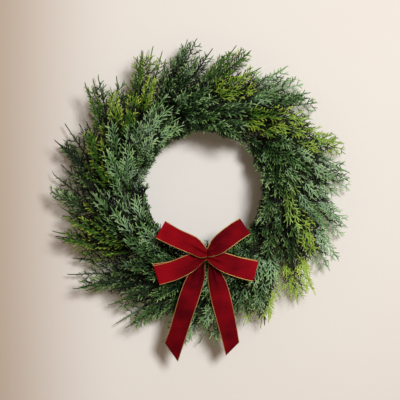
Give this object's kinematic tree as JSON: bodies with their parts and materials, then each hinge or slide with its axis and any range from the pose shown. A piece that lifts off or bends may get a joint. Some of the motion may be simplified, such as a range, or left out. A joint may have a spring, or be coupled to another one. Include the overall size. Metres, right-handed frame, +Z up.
{
  "type": "christmas wreath",
  "caption": "Evergreen Christmas wreath: sprays of cypress swirl clockwise round a wire ring, with a red velvet ribbon bow wired on at the bottom of the hole.",
  "frame": {"origin": "where a nail carries the wire ring: the lowest line of the ring's wire at the top of the wreath", "axes": "+Z up, the wreath lies in the XZ plane and faces -Y; the wall it hangs on is the plane 34 mm behind the origin, at y = +0.034"},
  "size_m": [0.5983, 0.1173, 0.6459],
  "materials": {
    "green_foliage": "matte",
    "lime_foliage": "matte",
    "red_velvet": "matte",
    "ring_wire": "satin",
    "tie_wire": "satin"
  },
  "bodies": {
    "root": {"bow_loop_lower_left": "red_velvet", "bow_loop_lower_right": "red_velvet", "bow_loop_upper_left": "red_velvet", "bow_loop_upper_right": "red_velvet", "bow_tail_left": "red_velvet", "bow_tail_right": "red_velvet", "bow_tie_wire": "tie_wire", "ring_wire": "ring_wire", "spray_crest_green_01": "green_foliage", "spray_crest_green_02": "green_foliage", "spray_crest_green_03": "green_foliage", "spray_crest_green_04": "green_foliage", "spray_crest_green_05": "green_foliage", "spray_front_green_01": "green_foliage", "spray_front_green_02": "green_foliage", "spray_front_green_03": "green_foliage", "spray_front_green_04": "green_foliage", "spray_front_green_05": "green_foliage", "spray_front_green_06": "green_foliage", "spray_front_green_07": "green_foliage", "spray_front_lime_01": "lime_foliage", "spray_inner_green_01": "green_foliage", "spray_inner_green_02": "green_foliage", "spray_inner_green_03": "green_foliage", "spray_inner_green_04": "green_foliage", "spray_inner_green_05": "green_foliage", "spray_inner_green_06": "green_foliage", "spray_inner_green_07": "green_foliage", "spray_inner_green_08": "green_foliage", "spray_inner_green_09": "green_foliage", "spray_middle_green_01": "green_foliage", "spray_middle_green_02": "green_foliage", "spray_middle_green_03": "green_foliage", "spray_middle_green_04": "green_foliage", "spray_middle_green_05": "green_foliage", "spray_middle_lime_01": "lime_foliage", "spray_middle_lime_02": "lime_foliage", "spray_middle_lime_03": "lime_foliage", "spray_middle_lime_04": "lime_foliage", "spray_middle_lime_05": "lime_foliage", "spray_middle_lime_06": "lime_foliage", "spray_outer_green_01": "green_foliage", "spray_outer_green_02": "green_foliage", "spray_outer_green_03": "green_foliage", "spray_outer_green_04": "green_foliage", "spray_outer_green_05": "green_foliage", "spray_outer_green_06": "green_foliage", "spray_outer_green_07": "green_foliage", "spray_outer_green_08": "green_foliage", "spray_outer_green_09": "green_foliage", "spray_outer_green_10": "green_foliage", "spray_outer_green_11": "green_foliage", "spray_outer_green_12": "green_foliage", "spray_outer_lime_01": "lime_foliage", "spray_outer_lime_02": "lime_foliage", "spray_outer_lime_03": "lime_foliage", "spray_outer_lime_04": "lime_foliage", "spray_outer_lime_05": "lime_foliage", "spray_outer_lime_06": "lime_foliage", "spray_outer_lime_07": "lime_foliage"}
  },
  "joints": []
}
